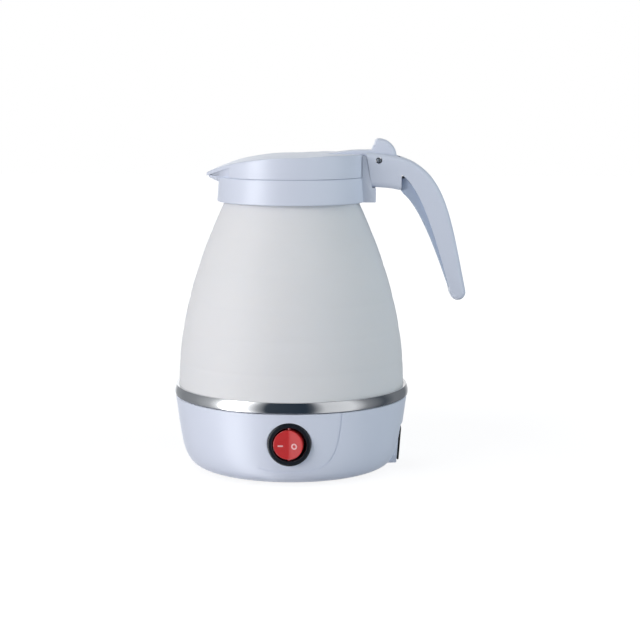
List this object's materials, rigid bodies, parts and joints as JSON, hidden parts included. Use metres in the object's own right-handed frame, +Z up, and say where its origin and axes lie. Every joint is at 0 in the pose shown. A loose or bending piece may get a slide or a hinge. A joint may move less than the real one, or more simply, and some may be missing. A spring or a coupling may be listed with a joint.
{
  "type": "collapsible kettle",
  "caption": "Travel kettle with a plastic heater base, a silicone body that folds down, a rigid collar with pouring beak, a hinged lid and a curved handle.",
  "frame": {"origin": "middle of the footprint's bounding box, at the height of the table under the feet", "axes": "+Z up, +X from the spout towards the handle, -Y the side with the switch"},
  "size_m": [0.1625, 0.1316, 0.1838],
  "materials": {
    "white_plastic": "satin gloss moulding",
    "silicone": "matte milky moulding",
    "polished_steel": "polished",
    "plain_steel": "plain sheet and wire",
    "aluminium": "as cast",
    "brass": "nickel plated",
    "black_plastic": "satin gloss moulding",
    "red_plastic": "clear glossy moulding",
    "grey_rubber": "matte",
    "phenolic": "matte",
    "brown_lead": "insulation",
    "blue_lead": "insulation",
    "green_lead": "insulation"
  },
  "bodies": {
    "base": {"base_housing": "white_plastic", "bottom_cover": "white_plastic", "rubber_foot_1": "grey_rubber", "rubber_foot_2": "grey_rubber", "rubber_foot_3": "grey_rubber", "rubber_foot_4": "grey_rubber", "cover_screw_1": "plain_steel", "cover_screw_2": "plain_steel", "cover_screw_3": "plain_steel", "steel_ring": "polished_steel", "heating_pan": "plain_steel", "clamp_ring": "white_plastic", "clamp_nut_1": "plain_steel", "clamp_nut_2": "plain_steel", "clamp_nut_3": "plain_steel", "clamp_nut_4": "plain_steel", "heat_spreader": "aluminium", "heating_element": "plain_steel", "boil_thermostat": "phenolic", "dry_boil_cutout": "phenolic", "thermal_fuse": "plain_steel", "switch_housing": "black_plastic", "switch_terminal_1": "plain_steel", "switch_terminal_2": "plain_steel", "switch_terminal_3": "plain_steel", "inlet_socket": "black_plastic", "inlet_pin_1": "brass", "inlet_pin_2": "brass", "inlet_pin_3": "brass", "live_wire": "brown_lead", "neutral_wire": "blue_lead", "earth_wire": "green_lead", "silicone_lower_wall": "silicone", "silicone_fold": "silicone"},
    "rocker": {"switch_rocker": "red_plastic"},
    "top": {"silicone_neck": "silicone", "collar_ring": "white_plastic", "neck_clamp_ring": "white_plastic", "handle_shell": "white_plastic", "handle_grip": "white_plastic", "handle_screw_1": "plain_steel", "handle_screw_2": "plain_steel", "hinge_pin": "plain_steel"},
    "lid": {"lid_cover": "white_plastic", "lid_inner_plate": "white_plastic", "lid_gasket": "silicone", "lid_screw_1": "plain_steel", "lid_screw_2": "plain_steel", "lid_screw_3": "plain_steel"}
  },
  "joints": [
    {"name": "collapse", "type": "slide", "parent": "base", "child": "top", "axis": [0, 0, -1], "range_m": [0, 0.074], "deforming": ["silicone_fold"]},
    {"name": "lid_hinge", "type": "hinge", "parent": "top", "child": "lid", "pos_m": [0.03232, 0, 0.1721], "axis": [0, 1, 0], "range_deg": [0, 80]},
    {"name": "switch_rock", "type": "hinge", "parent": "base", "child": "rocker", "pos_m": [-0.01547, -0.0603, 0.0248], "axis": [0, 0, 1], "range_deg": [0, 20]}
  ]
}
